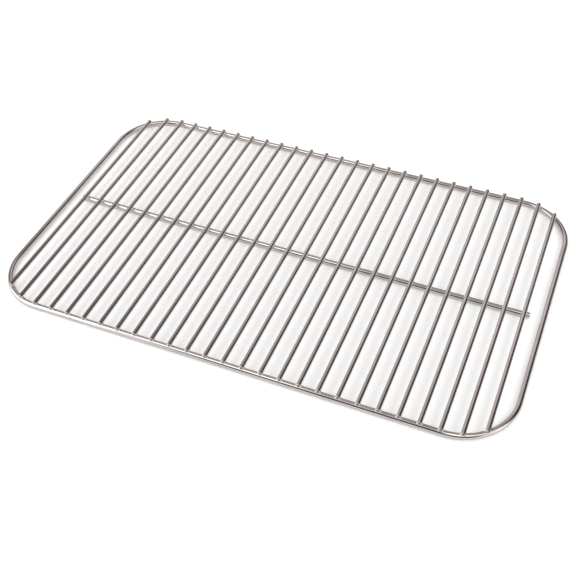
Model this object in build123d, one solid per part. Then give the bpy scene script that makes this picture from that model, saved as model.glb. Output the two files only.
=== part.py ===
from build123d import *
import os
from math import sqrt

# A welded wire cooking grate. One closed ring of wire is the frame, one wire under the middle is the brace,
# and a row of thinner straight wires lies across both as the cooking bars.
# X runs across the bars, Y along them and Z up. The origin is in the middle of the underside.

# Wires
FRAME_WIRE = 4.8        # diameter of the ring's wire
BRACE_WIRE = 4.8        # diameter of the brace's wire
BAR_WIRE = 3.8          # diameter of a cooking bar

# Row of cooking bars
BAR_COUNT = 27          # bars from the left side to the right
BAR_PITCH = 15.875      # from one bar's centreline to the next
END_OVERHANG = 0.6      # a bar runs this far past the ring's centreline

# Frame ring, measured along the wire's centreline
SIDE_GAP = 15.875       # from the outer bar to the ring's side
RING_DEPTH = 268.3      # from the front run to the back run
CORNER_RADIUS = 46.0    # bend at each corner

# Brace
BRACE_OVERHANG = 4.5    # from the outer bar's centreline to the brace's end

# Resistance welds
SET_DOWN = 0.5          # how far a bar sinks into the wire under it when it is welded

ROW_HALF = BAR_PITCH * (BAR_COUNT - 1) / 2
RING_HALF_WIDTH = ROW_HALF + SIDE_GAP
RING_HALF_DEPTH = RING_DEPTH / 2
SEAT_HEIGHT = FRAME_WIRE
BAR_HEIGHT = SEAT_HEIGHT - SET_DOWN + BAR_WIRE / 2
BRACE_HEIGHT = SEAT_HEIGHT - BRACE_WIRE / 2
BRACE_LENGTH = 2 * (ROW_HALF + BRACE_OVERHANG)


def ring_outline(offset):
    """The rounded rectangle of the ring's centreline, moved outwards by an offset."""
    return RectangleRounded(
        2 * (RING_HALF_WIDTH + offset),
        2 * (RING_HALF_DEPTH + offset),
        CORNER_RADIUS + offset,
    )


def frame_ring():
    """The wire bent to a rounded rectangle and closed on itself, with its seam line on the inside."""
    path = Pos(0, 0, FRAME_WIRE / 2) * ring_outline(0).wire()
    inwards = Vector(0, 0, 1).cross(path % 0)
    section = Plane(origin=path @ 0, x_dir=inwards, z_dir=path % 0) * Circle(FRAME_WIRE / 2)
    return sweep(section, path=path)


def centre_brace():
    """The wire that carries the middle of every bar, with its top level with the ring's top."""
    return Pos(0, 0, BRACE_HEIGHT) * Rot(0, 90, 0) * Cylinder(BRACE_WIRE / 2, BRACE_LENGTH)


def crown_half_width(wire):
    """Half the width of a wire's crown, down to the depth that a bar sinks to."""
    return sqrt(SET_DOWN * (wire - SET_DOWN))


def ring_seats():
    """The band over the ring's crown in which the bars are pressed flat."""
    half_width = crown_half_width(FRAME_WIRE)
    band = ring_outline(half_width) - ring_outline(-half_width)
    return Pos(0, 0, SEAT_HEIGHT - SET_DOWN) * extrude(band, SET_DOWN)


def brace_seats():
    """The band over the brace's crown in which the bars are pressed flat."""
    width = 2 * crown_half_width(BRACE_WIRE)
    return Pos(0, 0, SEAT_HEIGHT - SET_DOWN / 2) * Box(BRACE_LENGTH, width, SET_DOWN)


def ring_reach(x):
    """How far in front of or behind the middle the ring's centreline runs, at a place across the width."""
    into_bend = abs(x) - (RING_HALF_WIDTH - CORNER_RADIUS)
    if into_bend <= 0:
        return RING_HALF_DEPTH
    return RING_HALF_DEPTH - CORNER_RADIUS + sqrt(CORNER_RADIUS ** 2 - into_bend ** 2)


def cooking_bar(x, seats):
    """A bar cropped square over the ring, with the flats that its welds press into its underside."""
    length = 2 * (ring_reach(x) + END_OVERHANG)
    bar = Pos(x, 0, BAR_HEIGHT) * Rot(90, 0, 0) * Cylinder(BAR_WIRE / 2, length)
    for seat in seats:
        bar = bar - seat
    return bar


os.makedirs("parts", exist_ok=True)
ring = frame_ring()
brace = centre_brace()
seats = [ring_seats(), brace_seats()]
export_step(ring, "parts/frame_ring.step")
export_step(brace, "parts/centre_brace.step")
for index in range(BAR_COUNT):
    bar = cooking_bar(index * BAR_PITCH - ROW_HALF, seats)
    export_step(bar, f"parts/cooking_bar_{index + 1:02d}.step")
print("ring volume", ring.volume, "brace volume", brace.volume)
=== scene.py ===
# %% [markdown]
# # A welded wire cooking grate
# The real grate is a flat mat of stainless wire. One stout wire is bent to a rounded rectangle and
# closed, a second one of the same gauge runs across the middle, and a row of thinner bars lies on top
# of both, welded wherever two wires cross. The solids of all 29 wires come from the CAD model, so this
# file adds only what a lens sees on top of them: the rounded ends, the weld metal, the drawn finish of
# the steel, and a photographer's table with its lights.

# %% Load the wires
import bmesh
import bpy
from math import atan2, cos, hypot, pi, radians, sin, sqrt
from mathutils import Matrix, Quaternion, Vector


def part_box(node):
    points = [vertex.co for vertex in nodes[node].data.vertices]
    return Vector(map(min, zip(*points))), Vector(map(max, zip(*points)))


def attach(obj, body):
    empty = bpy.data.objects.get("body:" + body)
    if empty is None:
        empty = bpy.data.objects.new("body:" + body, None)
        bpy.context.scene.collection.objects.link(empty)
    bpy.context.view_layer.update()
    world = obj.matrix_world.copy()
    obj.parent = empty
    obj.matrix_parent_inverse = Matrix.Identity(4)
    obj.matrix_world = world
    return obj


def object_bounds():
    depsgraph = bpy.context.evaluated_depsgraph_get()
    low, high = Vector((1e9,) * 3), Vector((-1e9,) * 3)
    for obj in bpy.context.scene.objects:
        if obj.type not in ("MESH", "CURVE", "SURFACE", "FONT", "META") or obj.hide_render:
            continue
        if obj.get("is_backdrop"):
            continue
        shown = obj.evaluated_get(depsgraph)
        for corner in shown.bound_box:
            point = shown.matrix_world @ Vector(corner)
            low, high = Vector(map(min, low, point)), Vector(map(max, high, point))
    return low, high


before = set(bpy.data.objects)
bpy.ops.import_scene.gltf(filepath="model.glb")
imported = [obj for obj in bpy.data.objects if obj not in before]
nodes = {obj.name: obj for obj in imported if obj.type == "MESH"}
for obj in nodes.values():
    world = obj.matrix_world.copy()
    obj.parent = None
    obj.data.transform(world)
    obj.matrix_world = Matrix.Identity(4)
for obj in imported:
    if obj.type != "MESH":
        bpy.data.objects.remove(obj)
cad_low, cad_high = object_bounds()
bar_names = sorted(name for name in nodes if name.startswith("cooking_bar"))
print("loaded", len(nodes), "wires,", len(bar_names), "of them bars; box", cad_high - cad_low)

# %% [markdown]
# The pieces that follow are placed from the wires themselves. Their boxes give the two gauges, the
# heights of the axes and where each bar lies. The bend of the ring isn't in its box, but its mesh shows
# it: the straight front run ends where the mesh leaves the front edge.

# %% Measure the wires
ring_low, ring_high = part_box("frame_ring")
brace_low, brace_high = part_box("centre_brace")
bar_boxes = [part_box(name) for name in bar_names]
FRAME_RADIUS = (ring_high.z - ring_low.z) / 2
BAR_RADIUS = (bar_boxes[0][1].x - bar_boxes[0][0].x) / 2
FRAME_AXIS = ring_low.z + FRAME_RADIUS
BAR_AXIS = bar_boxes[0][1].z - BAR_RADIUS
RING_X = ring_high.x - FRAME_RADIUS
RING_Y = ring_high.y - FRAME_RADIUS
TOUCH = 1e-5
front_run = [v.co.x for v in nodes["frame_ring"].data.vertices if v.co.y < ring_low.y + TOUCH]
BEND = RING_X - max(front_run)
print(f"gauges {2e3 * FRAME_RADIUS:.2f} and {2e3 * BAR_RADIUS:.2f} mm, bend {1e3 * BEND:.1f} mm")

# %% [markdown]
# The camera stands a little to the right of the grate's middle and looks down at it from under a metre,
# through a short telephoto lens. It could be placed by hand in the viewport, but an aim point, two
# angles, a distance and a small roll say the same thing in numbers that can be read and changed.

# %% Camera
AIM = Vector((0.01735, -0.04390, BAR_AXIS))
AZIMUTH = radians(24.760)
ELEVATION = radians(46.782)
DISTANCE = 0.7351
ROLL = radians(-3.012)
LENS = 54.80
SENSOR = 36.0
NEAREST = 0.01

flat = cos(ELEVATION)
towards_camera = Vector((sin(AZIMUTH) * flat, -cos(AZIMUTH) * flat, sin(ELEVATION)))
lens_data = bpy.data.cameras.new("camera")
lens_data.lens = LENS
lens_data.sensor_width = SENSOR
lens_data.clip_start = NEAREST
camera = bpy.data.objects.new("camera", lens_data)
camera.rotation_mode = "QUATERNION"
camera.location = AIM + DISTANCE * towards_camera
upright = (-towards_camera).to_track_quat("-Z", "Y")
camera.rotation_quaternion = upright @ Quaternion((0, 0, 1), ROLL)
bpy.context.scene.collection.objects.link(camera)
bpy.context.scene.camera = camera
print("camera at", camera.location)

# %% [markdown]
# Shader maths reads best as plain sums, so one small class wraps an output socket. Adding, multiplying
# or comparing two of them adds a Math node, and `node` adds any other kind: it takes the node's type,
# its settings, which are set first, and the values or links of its inputs.

# %% Sums on sockets
class Signal:
    """An output socket that takes part in sums; every operator adds one Math node."""

    def __init__(self, tree, socket):
        self.tree = tree
        self.socket = socket

    @classmethod
    def node(cls, tree, kind, settings=None, inputs=None, output=0):
        """Adds a node of any kind and wraps one of its outputs."""
        made = tree.nodes.new("ShaderNode" + kind)
        for name, value in (settings or {}).items():
            if name == "stops":
                cls.set_stops(made.color_ramp, value)
            else:
                setattr(made, name, value)
        for name, value in (inputs or {}).items():
            if isinstance(value, Signal):
                tree.links.new(value.socket, made.inputs[name])
            else:
                made.inputs[name].default_value = value
        return cls(tree, made.outputs[output]) if made.outputs else made

    @staticmethod
    def set_stops(ramp, stops):
        """Gives a colour ramp its stops, each a place and a colour."""
        while len(ramp.elements) < len(stops):
            ramp.elements.new(1.0)
        for element, (place, colour) in zip(ramp.elements, stops):
            element.position = place
            element.color = colour

    def math(self, operation, *values):
        """Adds one Math node on these values."""
        return Signal.node(self.tree, "Math", {"operation": operation}, dict(enumerate(values)))

    def __add__(self, other):
        return self.math("ADD", self, other)

    def __sub__(self, other):
        return self.math("SUBTRACT", self, other)

    def __rsub__(self, other):
        return self.math("SUBTRACT", other, self)

    def __mul__(self, other):
        return self.math("MULTIPLY", self, other)

    def __truediv__(self, other):
        return self.math("DIVIDE", self, other)

    def __pow__(self, other):
        return self.math("POWER", self, other)

    def __abs__(self):
        return self.math("ABSOLUTE", self)

    __radd__ = __add__
    __rmul__ = __mul__

    def least(self, other):
        return self.math("MINIMUM", self, other)

    def most(self, other):
        return self.math("MAXIMUM", self, other)

    def ease(self, start, end):
        """Runs smoothly from 0 at start to 1 at end."""
        settings = {"interpolation_type": "SMOOTHSTEP"}
        inputs = {"Value": self, "From Min": start, "From Max": end}
        return Signal.node(self.tree, "MapRange", settings, inputs)


print("sums on sockets ready")

# %% [markdown]
# Four helpers keep the finishes short. A finish starts from an empty tree, reads where a point lies on
# the object and turns that place into noise. Places are in metres, so noise with a scale of 1000 has
# about one speckle to a millimetre.

# %% Helpers for finishes
def new_tree(name):
    """A new material and its empty tree of nodes."""
    material = bpy.data.materials.new(name)
    material.use_nodes = True
    material.node_tree.nodes.clear()
    return material, material.node_tree


def place_of(tree):
    """The x, y and z of a point of the surface, in metres."""
    point = Signal.node(tree, "TexCoord", output="Object")
    return [Signal.node(tree, "SeparateXYZ", inputs={"Vector": point}, output=axis) for axis in "XYZ"]


def packed(tree, x, y, z):
    """Three values as one vector or colour."""
    return Signal.node(tree, "CombineXYZ", inputs={"X": x, "Y": y, "Z": z})


def speckle(tree, point, scale, detail=2.0):
    """Soft noise from 0 to 1."""
    inputs = {"Vector": point, "Scale": scale, "Detail": detail}
    return Signal.node(tree, "TexNoise", inputs=inputs, output="Fac")


print("helpers for finishes ready")

# %% [markdown]
# Stainless wire is pulled through a die, and the die leaves fine lines along its length. A grate like
# this one is then polished in a bath, so the lines are shallow and the wire still mirrors the room,
# a little warm in tone. Wire could be given an anisotropic shader, but the lines themselves, stretched
# noise that turns into bump and roughness, hold up close to the lens and in other programs too.
# Each wire needs to know which way it runs, so the finish takes the two directions across the wire and
# a slow one along it.

# %% Drawn steel
STEEL_LIGHT = (0.60, 0.562, 0.545, 1.0)
STEEL_DARK = (0.52, 0.485, 0.468, 1.0)
EDGE_TINT = (0.75, 0.74, 0.73, 1.0)
DIE_LINES = 2600.0
LINE_STRETCH = 14.0
LINE_DETAIL = 3.0
LINE_BUMP = 0.08
LINE_DEPTH = 2e-5
CLOUD_ACROSS = 120.0
CLOUD_ALONG = 60.0
CLOUD_SHARE = 0.7
TONE_EDGE = (0.30, 0.70)
POLISH = 0.05
LINE_ROUGHNESS = 0.04
CLOUD_ROUGHNESS = 0.04


def raised(tree, height, strength, depth):
    """A bump from a height between 0 and 1, whose full depth is in metres."""
    return Signal.node(tree, "Bump", inputs={"Height": height, "Strength": strength, "Distance": depth})


def bare_metal(tree, colour, roughness, bump, edge):
    """Ends a tree in metal with this colour, roughness, bump and tint along its edges."""
    shader = Signal.node(tree, "BsdfPrincipled", inputs={
        "Base Color": colour,
        "Metallic": 1.0,
        "Roughness": roughness,
        "Specular Tint": edge,
        "Normal": bump,
    })
    Signal.node(tree, "OutputMaterial", inputs={"Surface": shader})


def drawn_steel(name, directions):
    """Polished wire; directions sorts x, y and z into the ways across, up and along the wire."""
    material, tree = new_tree(name)
    across, up, along = directions(*place_of(tree))
    line_point = packed(tree, across * DIE_LINES, up * DIE_LINES, along * LINE_STRETCH)
    cloud_point = packed(tree, across * CLOUD_ACROSS, up * CLOUD_ACROSS, along * CLOUD_ALONG)
    lines = speckle(tree, line_point, 1.0, LINE_DETAIL)
    cloud = speckle(tree, cloud_point, 1.0)
    tone = (cloud * CLOUD_SHARE + lines * (1.0 - CLOUD_SHARE)).ease(*TONE_EDGE)
    stops = [(0.0, STEEL_DARK), (1.0, STEEL_LIGHT)]
    colour = Signal.node(tree, "ValToRGB", {"stops": stops}, {"Fac": tone})
    roughness = POLISH + lines * LINE_ROUGHNESS + cloud * CLOUD_ROUGHNESS
    bare_metal(tree, colour, roughness, raised(tree, lines, LINE_BUMP, LINE_DEPTH), EDGE_TINT)
    return material


def along_y(x, y, z):
    return x, z, y


def along_x(x, y, z):
    return y, z, x


bar_steel = drawn_steel("bar_steel", along_y)
brace_steel = drawn_steel("brace_steel", along_x)
print("made", bar_steel.name, "and", brace_steel.name)

# %% [markdown]
# The ring's lines have to go round its corners. The distance from the wire's centreline does that: it
# is the signed distance of a rounded rectangle, a short sum that is the same along the straight runs
# and the bends. An unwrapped mesh could carry the lines too, but the wire's mesh stays as it came.

# %% Drawn steel round the bends
def along_ring(x, y, z):
    """Across, up and along the ring's wire; the first is 0 on its centreline."""
    past_x = abs(x) - (RING_X - BEND)
    past_y = abs(y) - (RING_Y - BEND)
    in_bend = (past_x.most(0.0) ** 2.0 + past_y.most(0.0) ** 2.0) ** 0.5
    off_centreline = in_bend + past_x.most(past_y).least(0.0) - BEND
    return off_centreline, z, x + y


ring_steel = drawn_steel("ring_steel", along_ring)
print("made", ring_steel.name, "with", len(ring_steel.node_tree.nodes), "nodes")

# %% [markdown]
# Each wire takes the steel whose lines run its own way. The bars, the brace and the ring could share one
# finish, but then its lines would run across some of them. A wire's mesh stays as it came, and only its
# material changes.

# %% Put the steel on the wires
for name, wire in nodes.items():
    finish = {"frame_ring": ring_steel, "centre_brace": brace_steel}.get(name, bar_steel)
    wire.data.materials.clear()
    wire.data.materials.append(finish)
print("steel on", len(nodes), "wires")

# %% [markdown]
# A cropping shear leaves two surfaces on the end of a bar. The rim is pressed round and polished like the
# rest of the wire, while the face below it is torn and rougher. Its very dark colour, far darker than
# steel, is painted shade on that face. Two materials would have to be sorted face by face, so one finish
# holds both. How far a point lies outside the ring's centreline tells them apart, because every bar ends
# just past it.

# %% Cropped steel
# painted shade: the torn end face gets a colour far darker than steel
SHADED_SHEAR_COLOUR = (0.16, 0.148, 0.142, 1.0)
RIM_PAST = 1.15e-3
FACE_PAST = 1.35e-3
SHEAR_GRAIN = 3000.0
SHEAR_BUMP = 0.3
SHEAR_DEPTH = 1e-5
SHEAR_ROUGHNESS = 0.30
GRAIN_ROUGHNESS = 0.04
GRAIN_SHARE = 0.15


def cropped_steel(name):
    """Polished at the rim of a bar's end, and rougher where the shear tore its face, with painted shade
    darkening that face.
    """
    material, tree = new_tree(name)
    point = Signal.node(tree, "TexCoord", output="Object")
    off_centreline, _, _ = along_ring(*place_of(tree))
    # this mask marks the torn face, which is rougher and carries the painted shade
    shear_and_shade = off_centreline.ease(RIM_PAST, FACE_PAST)
    grain = speckle(tree, point, SHEAR_GRAIN)
    tone = shear_and_shade * (1.0 - GRAIN_SHARE) + grain * GRAIN_SHARE
    stops = [(0.0, STEEL_LIGHT), (1.0, SHADED_SHEAR_COLOUR)]
    colour = Signal.node(tree, "ValToRGB", {"stops": stops}, {"Fac": tone})
    roughness = POLISH + shear_and_shade * SHEAR_ROUGHNESS + grain * GRAIN_ROUGHNESS
    bare_metal(tree, colour, roughness, raised(tree, grain, SHEAR_BUMP, SHEAR_DEPTH), EDGE_TINT)
    return material


end_steel = cropped_steel("end_steel")
print("made", end_steel.name)

# %% [markdown]
# Weld metal has been molten. It has no drawn lines, only a fine grain that runs every way. Its colour is
# far paler than the wire's, a painted highlight that stands in for the glints on the welds. The grain
# could be modelled, but it is finer than the picture shows, so plain noise in two sizes makes its tone,
# its roughness and a shallow bump.

# %% Weld metal
# painted highlight: both weld colours are far paler than steel and stand in for the glints on the welds
WELD_GLINT_LIGHT = (0.92, 0.885, 0.87, 1.0)
WELD_GLINT_DARK = (0.80, 0.765, 0.75, 1.0)
WELD_GLINT_TONES = [(0.35, WELD_GLINT_DARK), (0.65, WELD_GLINT_LIGHT)]
WHITE = (1.0, 1.0, 1.0, 1.0)
COARSE_GRAIN = 1400.0
FINE_GRAIN = 7000.0
FINE_SHARE = 0.4
WELD_BUMP = 0.3
WELD_DEPTH = 2e-5
WELD_ROUGHNESS = 0.18
COARSE_ROUGHNESS = 0.12


def glinting_weld_metal(name):
    """Grainy, less polished metal, painted far paler than the wire as a highlight for the glints on the
    welds.
    """
    material, tree = new_tree(name)
    point = Signal.node(tree, "TexCoord", output="Object")
    coarse = speckle(tree, point, COARSE_GRAIN)
    fine = speckle(tree, point, FINE_GRAIN)
    tone = coarse * (1.0 - FINE_SHARE) + fine * FINE_SHARE
    colour = Signal.node(tree, "ValToRGB", {"stops": WELD_GLINT_TONES}, {"Fac": tone})
    roughness = WELD_ROUGHNESS + coarse * COARSE_ROUGHNESS
    bare_metal(tree, colour, roughness, raised(tree, fine, WELD_BUMP, WELD_DEPTH), WHITE)
    return material


glinting_weld_steel = glinting_weld_metal("glinting_weld_steel")
print("made", glinting_weld_steel.name)

# %% [markdown]
# Small shapes that repeat are made one at a time and gathered into one mesh for each kind. They could
# stay objects of their own, but nobody wants 137 of them in a list. The finished piece has its place in
# its mesh and rides on the grate.

# %% Gathering small shapes
MERGE = 1e-7


def gather(whole, part):
    """Adds one small closed shape to the mesh that collects them."""
    bmesh.ops.remove_doubles(part, verts=part.verts, dist=MERGE)
    bmesh.ops.recalc_face_normals(part, faces=part.faces)
    mesh = bpy.data.meshes.new("part")
    part.to_mesh(mesh)
    part.free()
    whole.from_mesh(mesh)
    bpy.data.meshes.remove(mesh)


def finished_piece(name, shape, material):
    """Makes the gathered shapes one smooth piece of the grate."""
    mesh = bpy.data.meshes.new(name)
    shape.to_mesh(mesh)
    shape.free()
    mesh.shade_smooth()
    mesh.materials.append(material)
    piece = bpy.data.objects.new(name, mesh)
    bpy.context.scene.collection.objects.link(piece)
    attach(piece, "root")
    print(name, len(mesh.polygons), "faces")


print("points closer than", MERGE, "m are merged")

# %% [markdown]
# The polish rounds each cropped end to a low dome, and the brace's stout wire to a lower one. A whole
# sphere would stand too far out, so the dome is the cap of a larger one. One point of its rim is spun up
# to the pole, which leaves an arc of edges, and the arc is spun once round the wire. A disc closes it
# where it stands on the flat end of the CAD wire. The brace's ends take the finish of the weld metal,
# whose pale colour is a painted highlight on them.

# %% Domed ends
END_SIDES = 20
END_STEPS = 4
BAR_END_HEIGHT = 1.0e-3
BRACE_END_HEIGHT = 0.35e-3


def wire_end(radius, height, turn, place):
    """A closed dome; turn points it along the wire, and place is the middle of the wire's flat end."""
    shape = bmesh.new()
    sphere = (radius ** 2 + height ** 2) / (2 * height)
    centre = (0.0, 0.0, height - sphere)
    arc = atan2(radius, sphere - height)
    rim = shape.verts.new((radius, 0.0, 0.0))
    bmesh.ops.spin(shape, geom=[rim], cent=centre, axis=(0, -1, 0), angle=arc, steps=END_STEPS)
    bmesh.ops.spin(shape, geom=shape.verts[:] + shape.edges[:], cent=(0, 0, 0), axis=(0, 0, 1),
                   angle=2 * pi, steps=END_SIDES, use_merge=True)
    bmesh.ops.remove_doubles(shape, verts=shape.verts, dist=MERGE)
    bmesh.ops.holes_fill(shape, edges=[edge for edge in shape.edges if edge.is_boundary])
    bmesh.ops.rotate(shape, verts=shape.verts, matrix=turn.to_matrix())
    bmesh.ops.translate(shape, verts=shape.verts, vec=place)
    return shape


TO_FRONT = Quaternion((1, 0, 0), pi / 2)
TO_BACK = Quaternion((1, 0, 0), -pi / 2)
TO_RIGHT = Quaternion((0, 1, 0), pi / 2)
TO_LEFT = Quaternion((0, 1, 0), -pi / 2)

bar_ends = bmesh.new()
for low, high in bar_boxes:
    middle = (low.x + high.x) / 2
    gather(bar_ends, wire_end(BAR_RADIUS, BAR_END_HEIGHT, TO_FRONT, (middle, low.y, BAR_AXIS)))
    gather(bar_ends, wire_end(BAR_RADIUS, BAR_END_HEIGHT, TO_BACK, (middle, high.y, BAR_AXIS)))
finished_piece("bar_ends", bar_ends, end_steel)

brace_ends = bmesh.new()
gather(brace_ends, wire_end(FRAME_RADIUS, BRACE_END_HEIGHT, TO_RIGHT, (brace_high.x, 0.0, FRAME_AXIS)))
gather(brace_ends, wire_end(FRAME_RADIUS, BRACE_END_HEIGHT, TO_LEFT, (brace_low.x, 0.0, FRAME_AXIS)))
# the brace's ends get the pale weld finish as a painted highlight
finished_piece("brace_ends", brace_ends, glinting_weld_steel)

# %% [markdown]
# Where two wires cross, a welding press squeezes them together with a current through the spot. Some
# metal is pushed out sideways and sets as a thin collar in the gap round the joint. A torus would cut
# through the wires, because the gap between two crossed cylinders rises along one and falls along the
# other. So a small circle is spun to a ring, and each point of the ring then moves out to where the two
# wires are half as far apart as the collar is thick, midway between them, so that it sinks into both.
# Under a bar's end it stops where the bar does.

# %% The gap round a joint
def off_ring(x, y):
    """How far a point lies from the ring's centreline."""
    past_x = abs(x) - (RING_X - BEND)
    past_y = abs(y) - (RING_Y - BEND)
    in_bend = hypot(max(past_x, 0.0), max(past_y, 0.0))
    return in_bend + min(max(past_x, past_y), 0.0) - BEND


def off_brace(x, y):
    """How far a point lies from the brace's centreline."""
    return y


def wire_gap(x, off):
    """The height of a bar's underside over the wire below, and the height midway between them."""
    under = BAR_AXIS - sqrt(max(BAR_RADIUS ** 2 - x ** 2, 0.0))
    over = FRAME_AXIS + sqrt(max(FRAME_RADIUS ** 2 - off ** 2, 0.0))
    return under - over, (under + over) / 2


edge_gap, _ = wire_gap(BAR_RADIUS, 0.0)
print(f"the gap opens to {1e3 * edge_gap:.2f} mm at a bar's side")

# %% [markdown]
# The way out to the collar's place has no neat formula in the bends, where the wire below turns. Halving
# the stretch between the joint and a far point again and again finds it in every direction.

# %% Weld collars
COLLAR_GAP = 0.65e-3
COLLAR_RADIUS = 0.65e-3
COLLAR_SIDES = 8
COLLAR_STEPS = 24
SPIN_RADIUS = 1.0
HALVINGS = 24


def collar_place(bar_x, centre_y, bar_end, off_wire, angle):
    """The centre of the collar's section in one direction from the joint."""
    near, far = 0.0, BAR_RADIUS + FRAME_RADIUS
    for _ in range(HALVINGS):
        reach = (near + far) / 2
        x, y = reach * cos(angle), centre_y + reach * sin(angle)
        gap, middle = wire_gap(x, off_wire(bar_x + x, y))
        outside = gap > COLLAR_GAP or abs(y) > bar_end
        near, far = (near, reach) if outside else (reach, far)
    return Vector((bar_x + x, y, middle))


def weld_collar(bar_x, centre_y, bar_end, off_wire):
    """A ring of round section that follows the gap between a bar and the wire below."""
    shape = bmesh.new()
    bmesh.ops.create_circle(shape, segments=COLLAR_SIDES, radius=COLLAR_RADIUS)
    bmesh.ops.rotate(shape, verts=shape.verts, matrix=TO_FRONT.to_matrix())
    bmesh.ops.translate(shape, verts=shape.verts, vec=(SPIN_RADIUS, 0.0, 0.0))
    bmesh.ops.spin(shape, geom=shape.verts[:] + shape.edges[:], axis=(0, 0, 1), cent=(0, 0, 0),
                   angle=2 * pi, steps=COLLAR_STEPS, use_merge=True)
    for vert in shape.verts:
        angle = atan2(vert.co.y, vert.co.x)
        outwards = hypot(vert.co.x, vert.co.y) - SPIN_RADIUS
        off_section = Vector((outwards * cos(angle), outwards * sin(angle), vert.co.z))
        vert.co = collar_place(bar_x, centre_y, bar_end, off_wire, angle) + off_section
    return shape


def ring_reach(x):
    """How far from the middle the ring's front and back run, at a place across the width."""
    into_bend = max(abs(x) - (RING_X - BEND), 0.0)
    return RING_Y - BEND + sqrt(BEND ** 2 - into_bend ** 2)


collars = bmesh.new()
for low, high in bar_boxes:
    middle = (low.x + high.x) / 2
    gather(collars, weld_collar(middle, 0.0, high.y, off_brace))
    for side in (-1.0, 1.0):
        gather(collars, weld_collar(middle, side * ring_reach(middle), high.y, off_ring))
# painted highlight: the collars take the pale weld finish for the glints at each joint
finished_piece("weld_collars", collars, glinting_weld_steel)

# %% [markdown]
# The table is a white sheet under the grate. A sheet that is lit from above and from both sides keeps
# only a faint shade between the bars. Most of its white is the light that falls on it, so that the
# wires leave their shadow there, and the rest is a glow that the camera, and the mirror of the wires,
# add to it. Farther out, where the lamps no longer reach, the glow rises, and the sheet stays white to
# its edge.

# %% Table
TABLE_HALF = 30.0
TABLE_WHITE = (0.90, 0.90, 0.90, 1.0)
TABLE_GLOW = 0.22
FAR_GLOW = 0.09
LIT_REACH = 0.45
DIM_REACH = 2.00


def seen_or_mirrored(tree):
    """1 for rays that come from the camera, from a mirror or through glass, and 0 for the rest."""
    kinds = ("Is Camera Ray", "Is Glossy Ray", "Is Transmission Ray")
    camera_ray, glossy_ray, through_ray = [Signal.node(tree, "LightPath", output=kind) for kind in kinds]
    return camera_ray + glossy_ray + through_ray


def table_white():
    """White that takes shadows, with a glow that only the camera and mirrors see."""
    material, tree = new_tree("table_white")
    x, y, _ = place_of(tree)
    distance = (x ** 2.0 + y ** 2.0) ** 0.5
    level = TABLE_GLOW + FAR_GLOW * distance.ease(LIT_REACH, DIM_REACH)
    sheet = Signal.node(tree, "BsdfDiffuse", inputs={"Color": TABLE_WHITE})
    glow = Signal.node(tree, "Emission", inputs={"Color": packed(tree, level, level, level)})
    seen_glow = Signal.node(tree, "MixShader", inputs={0: seen_or_mirrored(tree), 2: glow})
    both = Signal.node(tree, "AddShader", inputs={0: sheet, 1: seen_glow})
    Signal.node(tree, "OutputMaterial", inputs={"Surface": both})
    return material


def stage_object(name, shape, material):
    """Makes a shape part of the studio, not of the grate."""
    mesh = bpy.data.meshes.new(name)
    shape.to_mesh(mesh)
    shape.free()
    mesh.materials.append(material)
    piece = bpy.data.objects.new(name, mesh)
    bpy.context.scene.collection.objects.link(piece)
    piece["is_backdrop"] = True
    return piece


shape = bmesh.new()
bmesh.ops.create_grid(shape, x_segments=1, y_segments=1, size=TABLE_HALF)
bmesh.ops.translate(shape, verts=shape.verts, vec=(0.0, 0.0, cad_low.z))
table = stage_object("table", shape, table_white())
print("table", table.dimensions)

# %% [markdown]
# Polished wire shows what stands round it, so the room matters as much as the lamps. A tent of cloth
# stands round the table, out of the camera's sight. It could be sewn from panels, but one sphere whose
# light is a sum of soft edges is quicker to change. The cloth is light at the left and falls off to
# dark at the right, which makes each bar look half light and half dark. Two bright windows in front,
# left and right of the middle, are the long highlights on the ring and the brace. A dark slit overhead
# draws the grey line along their tops, and the dark below the windows draws the line under the
# highlights. That dark ends at both sides, where the highlights run on round the bends. The cloth only
# shows in the mirror of the wires and lights nothing, so the lamps can be set apart from it. Each soft
# edge is a pair of places, in shares of the tent's radius: it starts at the first and is full at the
# second.

# %% Tent
TENT_RADIUS = 3.0
TENT_DIVISIONS = 5
CLOTH_DARK = 0.05
CLOTH_RISE = 0.58
CLOTH_EDGE = (0.62, -0.30)
BEHIND_RISE = 0.45
BEHIND_EDGE = (0.50, 0.72)
BACK_SHADE = 0.70
BACK_EDGE = (0.74, 0.86)
FRONT_RISE = 0.45
FRONT_EDGE = (0.12, -0.27)
WINDOW_LIGHT = 1.60
LEFT_WINDOW_EDGE = (-0.18, -0.27)
RIGHT_WINDOW_EDGE = (0.00, 0.08)
RIGHT_WINDOW_TOP = (0.35, -0.05)
FRONT_SHADE = 0.95
SHADE_TOP = (0.84, 0.58)
SHADE_FRONT = (0.00, -0.30)
SHADE_LEFT = (-0.58, -0.30)
SHADE_RIGHT = (0.92, 0.58)
SLIT_LIGHT = 0.24
SLIT_BACK = (0.54, 0.44)
SLIT_FRONT = (0.00, 0.22)
WARM_GAIN = 1.02
WARM_LIFT = 0.01


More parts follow.
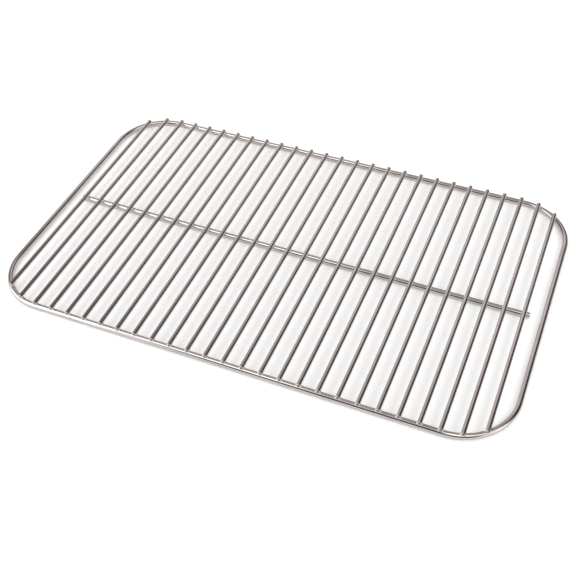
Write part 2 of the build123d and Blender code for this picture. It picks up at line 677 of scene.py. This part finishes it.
def tent_cloth():
    """Cloth that glows by where it hangs."""
    material, tree = new_tree("tent_cloth")
    x, y, z = [axis / TENT_RADIUS for axis in place_of(tree)]
    slit = y.ease(*SLIT_BACK) * y.ease(*SLIT_FRONT)
    in_front = y.ease(*FRONT_EDGE)
    low = z.ease(*SHADE_TOP) * y.ease(*SHADE_FRONT)
    low_in_front = low * x.ease(*SHADE_LEFT) * x.ease(*SHADE_RIGHT)
    cloth = CLOTH_DARK + CLOTH_RISE * x.ease(*CLOTH_EDGE)
    cloth = cloth * (1.0 + BEHIND_RISE * y.ease(*BEHIND_EDGE)) * (1.0 - BACK_SHADE * y.ease(*BACK_EDGE))
    cloth = cloth * (1.0 + FRONT_RISE * in_front)
    left_window = x.ease(*LEFT_WINDOW_EDGE) * in_front
    right_window = x.ease(*RIGHT_WINDOW_EDGE) * y.ease(*RIGHT_WINDOW_TOP)
    lit = (cloth + WINDOW_LIGHT * (left_window + right_window)) * (1.0 - FRONT_SHADE * low_in_front)
    level = lit + (SLIT_LIGHT - lit).least(0.0) * slit
    colour = packed(tree, level * WARM_GAIN + WARM_LIFT, level, level)
    glow = Signal.node(tree, "Emission", inputs={"Color": colour})
    Signal.node(tree, "OutputMaterial", inputs={"Surface": glow})
    material.cycles.emission_sampling = "NONE"
    return material


shape = bmesh.new()
bmesh.ops.create_icosphere(shape, subdivisions=TENT_DIVISIONS, radius=TENT_RADIUS)
tent = stage_object("tent", shape, tent_cloth())
tent.visible_camera = False
tent.visible_diffuse = False
tent.visible_shadow = False
print("tent", tent.dimensions)

# %% [markdown]
# Two soft boxes stand at the sides, in line with the middle of the grate, so that the shadows of the
# bars fall to the left and to the right of them and none falls in front of the ring. One lamp in front
# would be simpler, but it would draw a dark line along the ring. The boxes light the table only: in the
# wires the tent stands in for them.

# %% Soft boxes
LAMP_SIDE = 0.40
LEFT_LAMP = Vector((-0.61, -0.02, 0.61))
RIGHT_LAMP = Vector((0.84, -0.02, 0.61))
LEFT_POWER = 1.5
RIGHT_POWER = 2.5


def soft_box(name, place, power):
    """A square lamp that looks at the middle of the grate and doesn't show in the wires."""
    lamp_data = bpy.data.lights.new(name, "AREA")
    lamp_data.shape = "SQUARE"
    lamp_data.size = LAMP_SIDE
    lamp_data.energy = power
    lamp = bpy.data.objects.new(name, lamp_data)
    lamp.location = place
    lamp.rotation_mode = "QUATERNION"
    lamp.rotation_quaternion = (-place).to_track_quat("-Z", "Y")
    bpy.context.scene.collection.objects.link(lamp)
    lamp.visible_glossy = False
    print(name, power, "W at", place)


soft_box("left_box", LEFT_LAMP, LEFT_POWER)
soft_box("right_box", RIGHT_LAMP, RIGHT_POWER)

# %% [markdown]
# Most of the light is even and comes from the world, which keeps the shade between the bars faint.
# Where the camera looks past the table it sees plain white.

# %% World
WORLD_LIGHT = 0.8

world = bpy.data.worlds.new("world")
bpy.context.scene.world = world
world.use_nodes = True
sky = world.node_tree
sky.nodes.clear()
strength = WORLD_LIGHT + (1.0 - WORLD_LIGHT) * seen_or_mirrored(sky)
background = Signal.node(sky, "Background", inputs={"Color": WHITE, "Strength": strength})
Signal.node(sky, "OutputWorld", inputs={"Surface": background})
bpy.context.scene.view_settings.view_transform = "Standard"
print("world light", WORLD_LIGHT)

# %% [markdown]
# The box of the visual model is printed, beside the CAD model's box printed at the start.
# The visual model may not outgrow the CAD model.

# %% Sizes and the end
low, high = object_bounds()
print("visual model", high - low)
